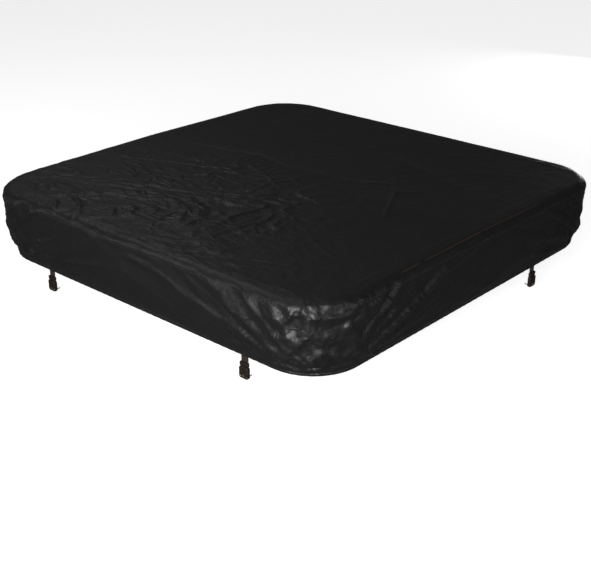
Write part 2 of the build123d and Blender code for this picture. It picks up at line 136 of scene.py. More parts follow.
def smooth_step(a, b, x):
    t = np.clip((x - a) / (b - a), 0, 1)
    return t * t * (3 - 2 * t)


def field(points, scale, seed=0.0, octaves=2):
    """Smooth noise in -1..1 at each point."""
    shift = Vector((seed * 3.1, seed * 1.7, seed * 5.3))
    return np.array([noise.fractal(Vector(p) * scale + shift, 1.0, 2.0, octaves) for p in points])


def ridges(points, scale, seed=0.0, octaves=2):
    """Sharp creases: 1 on the crest, falling to 0 between."""
    return np.clip(1 - 3.0 * np.abs(field(points, scale, seed, octaves)), 0, 1)


def sheet_faces(columns, rows, start=0, flip=False):
    """Faces of a grid whose vertices are stored column by column."""
    faces = []
    for i in range(columns):
        for j in range(rows):
            a = start + i * (rows + 1) + j
            face = (a, a + 1, a + rows + 2, a + rows + 1)
            faces.append((face[0], *face[:0:-1]) if flip else face)
    return faces


def tube_faces(lengths, section, start=0, flip=False, loop=False):
    """Faces of a tube stored ring by ring; a loop joins its last ring to its first."""
    rings = lengths if loop else lengths + 1
    faces = []
    for i in range(lengths):
        here, after = start + i * section, start + (i + 1) % rings * section
        for j in range(section):
            beside = (j + 1) % section
            face = (here + j, here + beside, after + beside, after + j)
            faces.append((face[0], *face[:0:-1]) if flip else face)
    return faces


def signed_power(value, power):
    """A cosine or sine pushed outwards, which squares off a round section."""
    return abs(value) ** power * (1 if value > 0 else -1)


def thicken(obj, thickness, offset):
    skin = obj.modifiers.new("sheet", "SOLIDIFY")
    skin.thickness = thickness
    skin.offset = offset
    bake(obj)


def square_ring(half, corner, per_side):
    """Points round a rounded square from the middle of one corner, per_side steps on each side."""
    flat = half - corner
    bend = corner * math.pi / 4
    total = 2 * flat + 2 * bend
    side = []
    for i in range(per_side):
        s = total * i / per_side
        if s < bend:
            a = math.pi / 4 - s / max(corner, 1e-9)
            side.append((flat + corner * math.cos(a), -flat - corner * math.sin(a)))
        elif s < bend + 2 * flat:
            side.append((half, -flat + s - bend))
        else:
            a = (s - bend - 2 * flat) / max(corner, 1e-9)
            side.append((flat + corner * math.cos(a), flat + corner * math.sin(a)))
    ring = []
    for k in range(4):
        c, s = math.cos(k * math.pi / 2), math.sin(k * math.pi / 2)
        ring += [(x * c - y * s, x * s + y * c) for x, y in side]
    return ring


def shell(profile, name):
    """Closed grid over a rounded square, with one ring per entry of the profile from the centre.

    Each entry is (half, corner, z, share of the top's slope).
    """
    rings = len(profile)
    verts = [(0.0, 0.0, profile[0][2])]
    starts = [0]
    for k in range(1, rings):
        half, corner, z, share = profile[k]
        starts.append(len(verts))
        for x, y in square_ring(half, corner, 2 * k):
            verts.append((x, y, z - share * (RIDGE - EDGE) * abs(y) / HALF))
    faces = []
    first = starts[1]
    for q in range(4):
        a, b, c = first + (2 * q - 1) % 8, first + (2 * q) % 8, first + (2 * q + 1) % 8
        faces.append((0, a, b, c))
    for k in range(2, rings):
        inner, outer = 8 * (k - 1), 8 * k
        i0, o0 = starts[k - 1], starts[k]
        for q in range(4):
            for j in range(2 * (k - 1)):
                a = i0 + (q * 2 * (k - 1) + j) % inner
                b = i0 + (q * 2 * (k - 1) + j + 1) % inner
                c = o0 + (q * 2 * k + j + 1) % outer
                d = o0 + (q * 2 * k + j + 2) % outer
                faces.append((a, c, d, b))
            corner_in = i0 + (q * 2 * (k - 1)) % inner
            corner_out = o0 + (q * 2 * k) % outer
            before = o0 + (q * 2 * k - 1) % outer
            after = o0 + (q * 2 * k + 1) % outer
            faces.append((corner_in, before, corner_out, after))
    return mesh_object(name, verts, faces), starts


# ---- Materials ----
# fine crinkles of the cap: scale of the noise and share of the depth
CRINKLES = ((7.0, 1.0), (17.0, 0.45), (42.0, 0.16))
# sharp little folds of the cap: stretch and scale of the noise, and depth in metres
SMALL_FOLDS = (((1.0, 1.5, 1.3), 4.2, 0.0042), ((1.5, 1.7, 1.2), 10.0, 0.0011))
WORN_FROM, WORN_TO = 0.52, 0.60  # pointiness over which an edge shows wear


def new_material(name):
    mat = bpy.data.materials.new(name)
    mat.use_nodes = True
    tree = mat.node_tree
    bsdf = tree.nodes["Principled BSDF"]
    return mat, tree, bsdf


def node(tree, kind, **values):
    made = tree.nodes.new(kind)
    for key, value in values.items():
        if key in made.inputs:
            made.inputs[key].default_value = value
        else:
            setattr(made, key, value)
    return made


def mix_colours(tree, factor, dark, light):
    mix = tree.nodes.new("ShaderNodeMix")
    mix.data_type = "RGBA"
    mix.inputs[6].default_value = (*dark, 1)
    mix.inputs[7].default_value = (*light, 1)
    tree.links.new(factor, mix.inputs[0])
    return mix.outputs[2]


def add_bump(tree, height, strength, distance, under=None):
    bump = node(tree, "ShaderNodeBump", Strength=strength, Distance=distance)
    tree.links.new(height, bump.inputs["Height"])
    if under is not None:
        tree.links.new(under, bump.inputs["Normal"])
    return bump.outputs["Normal"]


def weave_height(tree, vector, grain):
    """Over-and-under weave, in whichever two directions lie in the cloth.

    The grain is in metres, and the weave repeats every pi grains.
    """
    height = None
    for turn in ("X", "Y", "Z"):
        wave = node(tree, "ShaderNodeTexWave", wave_type="BANDS", bands_direction=turn)
        wave.inputs["Scale"].default_value = 0.1 / grain
        tree.links.new(vector, wave.inputs["Vector"])
        if height is None:
            height = wave.outputs["Fac"]
        else:
            add = node(tree, "ShaderNodeMath", operation="ADD")
            tree.links.new(height, add.inputs[0])
            tree.links.new(wave.outputs["Fac"], add.inputs[1])
            height = add.outputs[0]
    return height


def rest_vector(tree, attribute):
    if attribute:
        made = node(tree, "ShaderNodeAttribute", attribute_name=attribute)
        return made.outputs["Vector"]
    return node(tree, "ShaderNodeTexCoord").outputs["Object"]


def crease_bump(tree, vector, stretch, scale, depth, share, under):
    """Sharp little folds: bright where noise crosses its middle value."""
    place = node(tree, "ShaderNodeMapping")
    place.inputs["Scale"].default_value = stretch
    tree.links.new(vector, place.inputs["Vector"])
    noise_map = node(
        tree, "ShaderNodeTexNoise", Scale=scale, Detail=2.5, Roughness=0.55, Distortion=0.6
    )
    tree.links.new(place.outputs["Vector"], noise_map.inputs["Vector"])
    last = noise_map.outputs["Fac"]
    steps = (("SUBTRACT", 0.5), ("ABSOLUTE", None), ("MULTIPLY", -9.0), ("ADD", 1.0))
    for operation, value in steps:
        step = node(tree, "ShaderNodeMath", operation=operation)
        tree.links.new(last, step.inputs[0])
        if value is not None:
            step.inputs[1].default_value = value
        last = step.outputs[0]
    step.use_clamp = True
    gate = node(tree, "ShaderNodeMath", operation="MULTIPLY")
    tree.links.new(last, gate.inputs[0])
    tree.links.new(share, gate.inputs[1])
    return add_bump(tree, gate.outputs[0], 1.0, depth, under)


def vary_roughness(tree, bsdf, factor, low, high):
    span = node(tree, "ShaderNodeMapRange")
    span.inputs["To Min"].default_value = low
    span.inputs["To Max"].default_value = high
    tree.links.new(factor, span.inputs["Value"])
    tree.links.new(span.outputs["Result"], bsdf.inputs["Roughness"])


def cloth_material(name, dark, light, grain, rough, sheen, crinkle=0.0, attribute=None):
    mat, tree, bsdf = new_material(name)
    at = rest_vector(tree, attribute)
    tint = node(tree, "ShaderNodeTexNoise", Scale=6.0, Detail=6.0, Roughness=0.6)
    tree.links.new(at, tint.inputs["Vector"])
    tree.links.new(mix_colours(tree, tint.outputs["Fac"], dark, light), bsdf.inputs["Base Color"])
    wear = node(tree, "ShaderNodeTexNoise", Scale=22.0, Detail=5.0)
    tree.links.new(at, wear.inputs["Vector"])
    vary_roughness(tree, bsdf, wear.outputs["Fac"], rough - 0.07, rough + 0.09)
    normal = add_bump(tree, weave_height(tree, at, grain), 0.25, grain * 0.25)
    if crinkle:
        for scale, share in CRINKLES:
            small = node(
                tree, "ShaderNodeTexNoise", Scale=scale, Detail=2.0, Roughness=0.5, Distortion=1.2
            )
            tree.links.new(at, small.inputs["Vector"])
            normal = add_bump(tree, small.outputs["Fac"], 0.5, crinkle * share, normal)
        rise = node(tree, "ShaderNodeAttribute", attribute_name="shaded_rise").outputs["Fac"]
        normal = add_bump(tree, rise, 1.0, 1.0, normal)
        slack = node(tree, "ShaderNodeAttribute", attribute_name="slack").outputs["Fac"]
        for stretch, scale, depth in SMALL_FOLDS:
            normal = crease_bump(tree, at, stretch, scale, depth, slack, normal)
        bsdf.inputs["Specular IOR Level"].default_value = 0.32
    tree.links.new(normal, bsdf.inputs["Normal"])
    bsdf.inputs["Sheen Weight"].default_value = sheen
    bsdf.inputs["Sheen Roughness"].default_value = 0.4
    return mat


def vinyl_material(name, dark, light, attribute=None, rough=0.42, grain=620.0):
    mat, tree, bsdf = new_material(name)
    at = rest_vector(tree, attribute)
    tint = node(tree, "ShaderNodeTexNoise", Scale=4.0, Detail=6.0)
    tree.links.new(at, tint.inputs["Vector"])
    tree.links.new(mix_colours(tree, tint.outputs["Fac"], dark, light), bsdf.inputs["Base Color"])
    cells = node(tree, "ShaderNodeTexVoronoi", Scale=grain, feature="SMOOTH_F1")
    tree.links.new(at, cells.inputs["Vector"])
    normal = add_bump(tree, cells.outputs["Distance"], 0.4, 0.0006)
    pucker = node(tree, "ShaderNodeTexNoise", Scale=18.0, Detail=3.0, Distortion=0.8)
    tree.links.new(at, pucker.inputs["Vector"])
    normal = add_bump(tree, pucker.outputs["Fac"], 0.3, 0.003, normal)
    tree.links.new(normal, bsdf.inputs["Normal"])
    vary_roughness(tree, bsdf, tint.outputs["Fac"], rough - 0.08, rough + 0.12)
    return mat


def plastic_material(name, dark, light, rough=0.42, speckle=900.0, depth=0.0004):
    mat, tree, bsdf = new_material(name)
    at = rest_vector(tree, None)
    tint = node(tree, "ShaderNodeTexNoise", Scale=60.0, Detail=4.0)
    tree.links.new(at, tint.inputs["Vector"])
    edge = node(tree, "ShaderNodeNewGeometry")
    worn = node(tree, "ShaderNodeMapRange")
    worn.inputs["From Min"].default_value = WORN_FROM
    worn.inputs["From Max"].default_value = WORN_TO
    tree.links.new(edge.outputs["Pointiness"], worn.inputs["Value"])
    amount = node(tree, "ShaderNodeMath", operation="MAXIMUM")
    tree.links.new(tint.outputs["Fac"], amount.inputs[0])
    tree.links.new(worn.outputs["Result"], amount.inputs[1])
    tree.links.new(mix_colours(tree, amount.outputs[0], dark, light), bsdf.inputs["Base Color"])
    fine = node(tree, "ShaderNodeTexNoise", Scale=speckle, Detail=2.0)
    tree.links.new(at, fine.inputs["Vector"])
    tree.links.new(add_bump(tree, fine.outputs["Fac"], 0.4, depth), bsdf.inputs["Normal"])
    bsdf.inputs["Roughness"].default_value = rough
    bsdf.inputs["Specular IOR Level"].default_value = 0.3
    return mat


def metal_material(name, colour, rough=0.35, streak=300.0):
    mat, tree, bsdf = new_material(name)
    at = rest_vector(tree, None)
    grain = node(tree, "ShaderNodeTexNoise", Scale=streak, Detail=4.0)
    tree.links.new(at, grain.inputs["Vector"])
    dull = tuple(c * 0.7 for c in colour)
    tree.links.new(mix_colours(tree, grain.outputs["Fac"], dull, colour), bsdf.inputs["Base Color"])
    vary_roughness(tree, bsdf, grain.outputs["Fac"], rough - 0.1, rough + 0.15)
    tree.links.new(add_bump(tree, grain.outputs["Fac"], 0.2, 0.0002), bsdf.inputs["Normal"])
    bsdf.inputs["Metallic"].default_value = 1.0
    return mat


def foam_material(name):
    mat, tree, bsdf = new_material(name)
    at = rest_vector(tree, None)
    beads = node(tree, "ShaderNodeTexVoronoi", Scale=260.0, feature="SMOOTH_F1")
    tree.links.new(at, beads.inputs["Vector"])
    tree.links.new(
        mix_colours(tree, beads.outputs["Distance"], (0.82, 0.82, 0.80), (0.60, 0.60, 0.57)),
        bsdf.inputs["Base Color"],
    )
    tree.links.new(add_bump(tree, beads.outputs["Distance"], 0.6, 0.001), bsdf.inputs["Normal"])
    bsdf.inputs["Roughness"].default_value = 0.75
    return mat


def sheet_material(name, dark, light, rough, alpha=1.0):
    """Plastic sheet with a woven scrim showing through."""
    mat, tree, bsdf = new_material(name)
    at = rest_vector(tree, None)
    scrim = weave_height(tree, at, 0.004)
    scale = node(tree, "ShaderNodeMath", operation="MULTIPLY")
    scale.inputs[1].default_value = 0.33
    tree.links.new(scrim, scale.inputs[0])
    tree.links.new(mix_colours(tree, scale.outputs[0], dark, light), bsdf.inputs["Base Color"])
    normal = add_bump(tree, scrim, 0.25, 0.0008)
    waves = node(tree, "ShaderNodeTexNoise", Scale=9.0, Detail=4.0, Distortion=0.7)
    tree.links.new(at, waves.inputs["Vector"])
    tree.links.new(add_bump(tree, waves.outputs["Fac"], 0.5, 0.01, normal), bsdf.inputs["Normal"])
    bsdf.inputs["Roughness"].default_value = rough
    bsdf.inputs["Alpha"].default_value = alpha
    return mat


def webbing_material(name, dark, light, attribute=None):
    mat, tree, bsdf = new_material(name)
    at = rest_vector(tree, attribute)
    rib = weave_height(tree, at, 0.0022)
    scale = node(tree, "ShaderNodeMath", operation="MULTIPLY")
    scale.inputs[1].default_value = 0.4
    tree.links.new(rib, scale.inputs[0])
    tree.links.new(mix_colours(tree, scale.outputs[0], dark, light), bsdf.inputs["Base Color"])
    fuzz = node(tree, "ShaderNodeTexNoise", Scale=900.0, Detail=3.0)
    tree.links.new(at, fuzz.inputs["Vector"])
    normal = add_bump(tree, rib, 0.7, 0.0008)
    tree.links.new(add_bump(tree, fuzz.outputs["Fac"], 0.2, 0.0003, normal), bsdf.inputs["Normal"])
    bsdf.inputs["Roughness"].default_value = 0.72
    bsdf.inputs["Specular IOR Level"].default_value = 0.25
    bsdf.inputs["Sheen Weight"].default_value = 0.05
    return mat


CAP_CLOTH = cloth_material(
    "cap_cloth", (0.0040, 0.0037, 0.0038), (0.0072, 0.0066, 0.0067), 0.0011,
    rough=0.44, sheen=0.012, crinkle=0.0045, attribute="rest_place",
)
BROWN = ((0.022, 0.014, 0.010), (0.042, 0.028, 0.020))
LID_VINYL = vinyl_material("lid_vinyl", *BROWN, attribute="rest_place")
LID_VINYL_CAD = vinyl_material("lid_vinyl_cord", *BROWN)
WEBBING = webbing_material(
    "strap_webbing", (0.008, 0.0045, 0.003), (0.024, 0.014, 0.009), "rest_place"
)
WEBBING_CAD = webbing_material("cord_braid", (0.010, 0.010, 0.010), (0.028, 0.028, 0.028))
BUCKLE = plastic_material(
    "buckle_plastic", (0.0045, 0.0028, 0.0020), (0.014, 0.009, 0.006), rough=0.5
)
BLACK_PLASTIC = plastic_material(
    "black_plastic", (0.010, 0.010, 0.010), (0.030, 0.030, 0.030), rough=0.35
)
ZIP_TAPE = webbing_material("zip_tape", (0.008, 0.008, 0.008), (0.030, 0.030, 0.030))
STEEL = metal_material("galvanised_steel", (0.55, 0.56, 0.57), 0.42, 60.0)
ZINC = metal_material("zinc_plate", (0.62, 0.62, 0.60), 0.30)
BRASS = metal_material("lock_brass", (0.60, 0.46, 0.22), 0.32)
SPRING = metal_material("spring_steel", (0.70, 0.70, 0.70), 0.22)
FOAM = foam_material("bead_foam")
LINER = sheet_material("liner_sheet", (0.36, 0.37, 0.39), (0.58, 0.60, 0.62), 0.38)
FILM = sheet_material("vapour_film", (0.60, 0.64, 0.66), (0.76, 0.80, 0.82), 0.18, 0.5)
THREAD = cloth_material("thread", (0.012, 0.012, 0.012), (0.030, 0.030, 0.030), 0.0006, 0.6, 0.1)


def paint(obj, material):
    obj.data.materials.clear()
    obj.data.materials.append(material)
    return obj


def keep_rest(obj):
    """Stores where each vertex is at rest, so that the weave stays on the cloth when it bends."""
    made = obj.data.attributes.new("rest_place", "FLOAT_VECTOR", "POINT")
    made.data.foreach_set("vector", coords(obj).astype(np.float32).ravel())
    return obj


def finish_piece(obj, material, slot, *cad, body=None):
    """Paints a piece, keeps its rest places and hides the CAD nodes it stands for; it rides on a
    body if one is given.
    """
    paint(obj, material)
    keep_rest(obj)
    if body:
        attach(obj, body)
    if cad:
        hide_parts(*cad)


def bend_at_fold(obj):
    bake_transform(obj)


# ---- Weather cap ----
def cap_profile(step, stand_off=0.003, rim=0.022):
    """Rings from the centre of the top, over the soft rim, down the skirt and round the hem."""
    wide = HALF + stand_off
    corner = CORNER + stand_off
    rings = []
    reach = wide - rim
    count = int(reach / step)
    for i in range(count + 1):
        half = reach * i / count
        rings.append((half, (corner - rim) * (half / reach) ** 1.5, RIDGE, 1.0))
    for a in (22, 45, 68, 90):
        a = math.radians(a)
        half = reach + rim * math.sin(a)
        rings.append((half, half - wide + corner, RIDGE - rim * (1 - math.cos(a)), 1.0))
    down = RIDGE - rim
    count = int((down - SHOULDER) / step)
    for i in range(1, count + 1):
        f = i / count
        rings.append((wide, corner, down + (SHOULDER - down) * f, 1.0 - f))
    count = int((SHOULDER - HEM_TOP) / step)
    for i in range(1, count + 1):
        f = i / count
        half = wide + (HEM_HALF - wide) * f
        rings.append((half, half - wide + corner, SHOULDER + (HEM_TOP - SHOULDER) * f, 0.0))
    return rings


STEP = 0.0165  # size of the cap's mesh before it is divided once more
FRAMES = 24  # length of the drape
cap, ring_starts = shell(cap_profile(STEP), "cap_cloth_cover")
base = coords(cap)
ring_of = np.zeros(len(base), int)
for k, s in enumerate(ring_starts):
    ring_of[s:] = k
hem_ring = ring_of == len(ring_starts) - 1
on_top = base[:, 2] > EDGE - 0.018


def run_cloth(obj):
    """Drapes the cap over the lid. The cloth is a little too large, and the hem holds its foot."""
    lid_profile = []
    for half, corner, z, share in cap_profile(0.05, stand_off=0.0, rim=0.020):
        if z > -0.10:
            lid_profile.append((half * 0.9945, corner * 0.99, z - 0.0035, share))
    block, _ = shell(lid_profile, "lid_block")
    block.modifiers.new("hit", "COLLISION")
    block.collision.thickness_outer = 0.002
    block.collision.cloth_friction = 12
    pin = obj.vertex_groups.new(name="pin")
    pin.add([int(i) for i in np.nonzero(hem_ring)[0]], 1.0, "REPLACE")
    grow = obj.vertex_groups.new(name="grow")
    side = smooth_step(EDGE + 0.004, EDGE - 0.03, base[:, 2])
    for i, w in enumerate(side):
        grow.add([i], float(w), "REPLACE")
    cloth = obj.modifiers.new("drape", "CLOTH")
    setup = {
        "quality": 5, "mass": 0.35, "tension_stiffness": 25, "compression_stiffness": 25,
        "shear_stiffness": 6, "bending_stiffness": 0.25, "tension_damping": 10,
        "compression_damping": 10, "shear_damping": 8, "vertex_group_mass": "pin",
        "vertex_group_shrink": "grow", "shrink_min": -0.006, "shrink_max": -0.045,
    }
    for key, value in setup.items():
        setattr(cloth.settings, key, value)
    cloth.collision_settings.use_self_collision = False
    cloth.collision_settings.distance_min = 0.002
    cloth.point_cache.frame_start = 1
    cloth.point_cache.frame_end = FRAMES
    scene = bpy.context.scene
    scene.frame_start, scene.frame_end = 1, FRAMES
    for f in range(1, FRAMES + 1):
        scene.frame_set(f)
    bake(obj)
    bpy.data.objects.remove(block)
    scene.frame_set(1)


run_cloth(cap)
moved = coords(cap) - base
length = np.linalg.norm(moved, axis=1)
print(f"cloth moved {length.mean() * 1000:.2f} mm mean, {length.max() * 1000:.1f} mm most")
# the drape is softly limited, less on the top than on the skirt
limit = np.where(on_top, 0.008, 0.016)
scale = limit * np.tanh(length / limit) / np.maximum(length, 1e-9)
set_coords(cap, base + moved * scale[:, None])


def corner_fan(co, sx, sy):
    """For each point: height over the hem, way from one corner, and which side of it."""
    x, y, z = co.T
    on_side = np.abs(x) > np.abs(y)
    away = np.hypot(x - sx * FAN_AT * HALF, y - sy * FAN_AT * HALF)
    height = np.maximum(z - HEM_FOOT, 0.0)
    return height, away, np.where(on_side, 1.0, -1.0)


def crease(x, y, start, end, width, wander):
    """A soft ridge along a line on the top."""
    a, b = np.array(start), np.array(end)
    run = b - a
    size = np.hypot(*run)
    along = ((x - a[0]) * run[0] + (y - a[1]) * run[1]) / size
    off = ((x - a[0]) * run[1] - (y - a[1]) * run[0]) / size + wander
    ends = smooth_step(-0.05, 0.06, along) * smooth_step(size + 0.05, size - 0.06, along)
    return ends * np.exp(-((off / width) ** 2))


def slack_share(co):
    """Where the top cloth is slack: most towards the front left, little at the back right."""
    x, y = co[:, 0], co[:, 1]
    return 0.10 + 0.90 * np.exp(-(((x + 0.28) / 0.80) ** 2) - (((y + 0.60) / 0.48) ** 2))


# long creases on the top, placed as on the real cap: start, end, rise and width in metres
TOP_CREASES = (
    ((-0.74, 0.05), (0.38, 0.15), 0.0060, 0.013),
    ((0.37, 0.14), (0.59, -0.17), 0.0046, 0.010),
    ((-0.30, -0.06), (0.32, -0.22), 0.0042, 0.012),
    ((0.05, 0.52), (0.66, 0.38), 0.0030, 0.013),
    ((-0.86, -0.34), (-0.40, -0.16), 0.0044, 0.011),
    ((0.02, -0.52), (0.52, -0.66), 0.0050, 0.012),
)
# corners, as sides in x and y, and how hard the elastic pulls the skirt there
CORNER_PULLS = ((1, -1, 1.0), (-1, -1, 0.75), (1, 1, 0.65), (-1, 1, 0.65))
GATHER = 0.043  # from one gather above the elastic to the next
# how far the wrinkles rise, in metres
TOP_WIDE, TOP_TIGHT, TOP_WAVES = 0.0105, 0.0056, 0.0012
FAN_WIDE, FAN_SMALL = 0.0165, 0.0075
CRUMPLE_WIDE, CRUMPLE_SMALL, CRUMPLE_DIP = 0.0125, 0.0060, 0.0025
SKIRT_SLACK, RIM_WANDER, GATHER_RISE, SEAM_RISE = 0.0050, 0.0035, 0.0018, 0.0007


def dress_cap(obj):
    """Adds the tension folds, creases, seam and gathers that are too small for the drape."""
    split = obj.modifiers.new("fine", "SUBSURF")
    split.levels = split.render_levels = 1
    bake(obj)
    co, no = coords(obj), normals(obj)
    x, y, z = co.T
    flat = smooth_step(EDGE - 0.014, EDGE - 0.003, z)
    side = 1 - flat
    out = np.zeros(len(co))

    # top: crinkles that gather towards the front left, and a few long creases
    warp = 0.10 * field(co, 2.4, 21.0, 2)
    bend = 0.30 * field(co, 1.5, 23.0, 1)
    run_along, run_across = x * 0.97 + y * 0.24 + warp, y * 0.97 - x * 0.24 + warp + bend
    wide = np.column_stack([run_along * 5.0, run_across * 8.0, z * 0])
    tight = np.column_stack([run_along * 10.0 + 3, run_across * 15.0 + warp * 9, z * 0])
    gathered = slack_share(co)
    patches = np.clip(0.35 + 1.7 * field(co, 2.8, 91.0, 2), 0, 1)
    out += flat * gathered * (0.25 + 0.75 * patches) * TOP_WIDE * ridges(wide, 1.0, 3.0, 2) ** 1.5
    out += flat * gathered * patches * TOP_TIGHT * ridges(tight, 1.0, 8.0, 2) ** 1.4
    out += flat * TOP_WAVES * field(co, 3.4, 14.0, 2)
    for start, end, rise, width in TOP_CREASES:
        line = crease(x, y, start, end, width * 1.25, warp * 0.8)
        out += flat * rise * line * (0.65 + 0.6 * warp / 0.10)

    # skirt: folds pulled tight from the elastic at each corner
    below_rim = smooth_step(EDGE + 0.002, EDGE - 0.05, z)
    above_hem = 0.12 + 0.88 * smooth_step(HEM_TOP, HEM_TOP + 0.055, z)
    for n, (sx, sy, pull) in enumerate(CORNER_PULLS):
        height, away, which = corner_fan(co, sx, sy)
        angle = np.arctan2(height, away + 0.02)
        reach = np.hypot(height, away)
        bent = angle + 0.06 * field(co, 3.0, 30.0 + n, 2)
        fan = np.column_stack([bent * 5.0, reach * 0.9, which * 2.0 + n])
        small = np.column_stack([bent * 13.0, reach * 2.2, which * 2.0 + n])
        beside = 0.30 + 0.70 * smooth_step(0.12, 0.32, away)
        fade = np.exp(-((reach / 0.95) ** 2)) * beside * side * below_rim * above_hem
        out += pull * fade * FAN_WIDE * ridges(fan, 1.0, 41.0 + n, 2) ** 1.5
        out += pull * fade * FAN_SMALL * ridges(small, 1.0, 51.0 + n, 2) ** 1.4
        crumple = np.exp(-((away / 0.36) ** 2)) * side * below_rim * above_hem
        drift = [field(co, 5.0, 81.0 + n, 1), field(co, 5.0, 85.0 + n, 1), z * 0]
        bunched = co + 0.05 * np.column_stack(drift)
        out += pull * crumple * CRUMPLE_WIDE * ridges(bunched, 6.0, 61.0 + n, 2) ** 1.2
        out += pull * crumple * CRUMPLE_SMALL * ridges(bunched, 11.0, 65.0 + n, 2) ** 1.3
        out -= pull * crumple * CRUMPLE_DIP
    # slack between the corners, and a rim that wanders
    out += side * below_rim * SKIRT_SLACK * field(co * np.array([1, 1, 1.6]), 2.6, 2.0, 2)
    at_rim = np.exp(-(((z - EDGE + 0.020) / 0.020) ** 2)) * side
    out += at_rim * RIM_WANDER * np.maximum(field(co, 7.0, 95.0, 2), -0.2)

    # uneven gathers above the elastic
    run = np.where(np.abs(x) > np.abs(y), y * np.sign(x), -x * np.sign(y))
    near_hem = smooth_step(HEM_TOP + 0.045, HEM_TOP + 0.004, z)
    patchy = np.clip(0.45 + field(co, 3.5, 71.0, 1), 0, 1)
    phase = run * 2 * math.pi / GATHER + 5.0 * field(co, 4.0, 4.0, 1)
    out += near_hem * patchy * GATHER_RISE * np.sin(phase)

    # topstitched seam between the top panel and the skirt
    out += SEAM_RISE * np.exp(-(((z - SEAM_Z) / 0.0045) ** 2))
    co = co + no * out[:, None]
    fit_in_fold(obj, co)
    set_coords(obj, co)


def fit_in_fold(obj, co):
    """Keeps the top's wrinkles in the wedge of room between the folded halves, and shades the rest.

    The front half gets 0.70 of the room and the rear half 0.30.
    """
    y, z = co[:, 1], co[:, 2]
    room = 2 * (FOLD_Z - RIDGE + (RIDGE - EDGE) * np.abs(y) / HALF)
    share = 0.30 + 0.40 * smooth_step(0.02, -0.02, y)
    plain = RIDGE - (RIDGE - EDGE) * np.abs(y) / HALF
    limit = np.maximum(room * share - 0.0001, 0.0001)
    rise = z - plain
    kept = np.where(rise > 0, limit * np.tanh(np.maximum(rise, 0) / limit), rise)
    co[:, 2] = plain + kept
    lost = obj.data.attributes.new("shaded_rise", "FLOAT", "POINT")
    lost.data.foreach_set("value", np.maximum(rise - kept, 0).astype(np.float32))


def fold_rows(obj):
    """Extra rows of mesh across the fold, in small steps, ready for a bend there."""
    build = bmesh.new()
    build.from_mesh(obj.data)
    steps, reach = 7, 0.03
    for k in range(-steps, steps + 1):
        near = [f for f in build.faces if abs(f.calc_center_median().y) < reach]
        around = list({e for f in near for e in f.edges}) + list({v for f in near for v in f.verts})
        place = (0, BEND * k / steps, 0)
        bmesh.ops.bisect_plane(build, geom=near + around, plane_co=place, plane_no=(0, 1, 0))
    build.to_mesh(obj.data)
    build.free()


dress_cap(cap)


def hem_tube(name, count=960):
    """Rolled hem with the elastic inside: a gathered tube under the skirt."""
    mid_half = (HEM_HALF + (HEM_HALF - 0.010)) / 2
    centre = (HEM_TOP + HEM_FOOT) / 2
    ring = square_ring(mid_half, mid_half - HALF + CORNER, count // 4)
    verts = []
    section = 12
    for i, (x, y) in enumerate(ring):
        ahead, behind = ring[(i + 1) % count], ring[i - 1]
        nx, ny = ahead[1] - behind[1], behind[0] - ahead[0]
        size = math.hypot(nx, ny)
        nx, ny = nx / size, ny / size
        wobble = noise.noise(Vector((x * 9, y * 9, 1.0)))
        pucker = (0.35 + 0.3 * wobble) * math.sin(i * 2 * math.pi / 5.4 + 5 * wobble)
        for j in range(section):
            a = 2 * math.pi * j / section
            c, s = math.cos(a), math.sin(a)
            wide = (0.0052 + 0.0011 * pucker) * signed_power(c, 0.6)
            tall = (0.0073 + 0.0006 * pucker) * signed_power(s, 0.6)
            verts.append((x + nx * wide, y + ny * wide, centre + tall))
    return mesh_object(name, verts, tube_faces(count, section, flip=True, loop=True))


def stitches(name, cloth, half, z, pitch=0.007, length=0.0045, thick=0.0006):
    """A row of thread stitches round the skirt, laid on the finished cloth."""
    sheet = cloth.data
    places, polygons = [v.co for v in sheet.vertices], [p.vertices for p in sheet.polygons]
    surface = BVHTree.FromPolygons(places, polygons)
    perimeter = 8 * (half - CORNER) + 2 * math.pi * CORNER
    count = 4 * int(perimeter / pitch / 4)
    ring = square_ring(half, CORNER, count // 4)
    verts, faces = [], []
    for i, (x, y) in enumerate(ring):
        px, py = ring[(i + 1) % count]
        run = Vector((px - x, py - y, 0)).normalized()
        outward = Vector((run.y, -run.x, 0))
        hit = surface.ray_cast(Vector((x, y, z)) + outward * 0.05, -outward)[0]
        if hit is None:
            continue
        start = len(verts)
        for a, rise in ((0, 0.0), (0.5, 1.0), (1, 0.0)):
            at = hit + run * (length * a)
            for u, v in ((-1, 0), (0, 1), (1, 0), (0, -1)):
                size = thick * (0.5 + 0.5 * rise)
                raised = at + outward * (size * v + thick * 0.6 * rise)
                verts.append(raised + Vector((0, 0, size * u)))
        faces += tube_faces(2, 4, start)
        faces.append(tuple(start + j for j in (3, 2, 1, 0)))
        faces.append(tuple(start + 8 + j for j in range(4)))
    return mesh_object(name, verts, faces)


hem = hem_tube("cap_hem_roll")
seam_thread = stitches("cap_seam_thread", cap, HALF, SEAM_Z - 0.0065)
thicken(cap, CAP_THICK, -1)


def keep_slack(obj):
    """Stores how crumpled the cloth is: most at the corners and on the front left of the top."""
    co = coords(obj)
    top = smooth_step(EDGE - 0.014, EDGE - 0.003, co[:, 2])
    from_corner = np.hypot(FAN_AT * HALF - np.abs(co[:, 0]), FAN_AT * HALF - np.abs(co[:, 1]))
    bunched = 0.12 + 0.88 * np.exp(-((from_corner / 0.42) ** 2))
    share = top * slack_share(co) + (1 - top) * bunched
    made = obj.data.attributes.new("slack", "FLOAT", "POINT")
    made.data.foreach_set("value", share.astype(np.float32))


